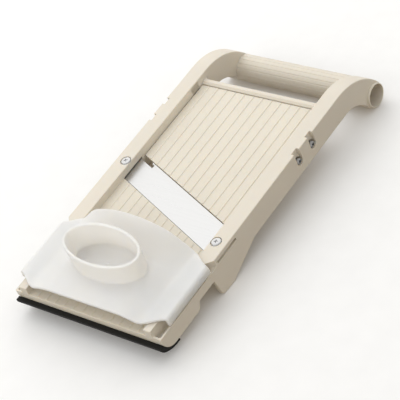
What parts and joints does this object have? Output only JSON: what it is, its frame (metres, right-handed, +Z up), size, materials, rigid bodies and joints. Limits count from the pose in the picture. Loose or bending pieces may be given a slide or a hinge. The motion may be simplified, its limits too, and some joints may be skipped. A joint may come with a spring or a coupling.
{
  "type": "mandoline slicer",
  "caption": "Hand-held mandoline slicer with an angled blade, a knob-set upper table, bowl hooks, a tube handle and a loose cup-shaped guard parked on its foot.",
  "frame": {"origin": "on the surface it stands on, under the middle of its bounding box", "axes": "+Y along the rails from the foot to the handle, +X to the right seen from the foot, +Z up"},
  "size_m": [0.1236, 0.2518, 0.052],
  "materials": {
    "body_plastic": "moulded, soft sheen",
    "table_plastic": "moulded, soft sheen",
    "foot_rubber": "matte black",
    "blade_steel": "ground, bright edge",
    "screw_steel": "turned stainless",
    "nut_brass": "turned brass",
    "guard_plastic": "milky, slightly translucent"
  },
  "bodies": {
    "frame": {"side_rail_left": "body_plastic", "side_rail_right": "body_plastic", "lower_table": "table_plastic", "foot_shell": "table_plastic", "tang_pocket": "table_plastic", "crossbar": "body_plastic", "handle": "body_plastic", "adjuster_bridge": "body_plastic", "rubber_foot": "foot_rubber", "blade": "blade_steel", "thrust_washer": "screw_steel", "blade_screw_left": "screw_steel", "blade_nut_left": "screw_steel", "table_pivot_pin_left": "screw_steel", "bridge_screw_left_1": "screw_steel", "bridge_screw_left_2": "screw_steel", "blade_screw_right": "screw_steel", "blade_nut_right": "screw_steel", "table_pivot_pin_right": "screw_steel", "bridge_screw_right_1": "screw_steel", "bridge_screw_right_2": "screw_steel"},
    "upper_table": {"upper_table": "table_plastic", "table_nut": "nut_brass"},
    "knob": {"knob": "body_plastic", "knob_shaft": "screw_steel", "retaining_clip": "screw_steel"},
    "guard": {"guard_sheet": "guard_plastic", "guard_cup": "guard_plastic"}
  },
  "joints": [
    {"name": "knob_turn", "type": "hinge", "parent": "frame", "child": "knob", "pos_m": [0, 0.0408, 0.00917], "axis": [0, -0.0571, 0.9984], "range_deg": [0, 630]},
    {"name": "table_tilt", "type": "hinge", "parent": "frame", "child": "upper_table", "pos_m": [0, 0.06679, 0.02408], "axis": [1, 0, 0], "range_deg": [0, 3]},
    {"name": "guard_lift", "type": "slide", "parent": "frame", "child": "guard", "axis": [0, -0.0571, 0.9984], "range_m": [0, 0.04]}
  ],
  "couplings": [
    {"joint": "table_tilt", "follows": "knob_turn", "ratio": 0.004762}
  ]
}
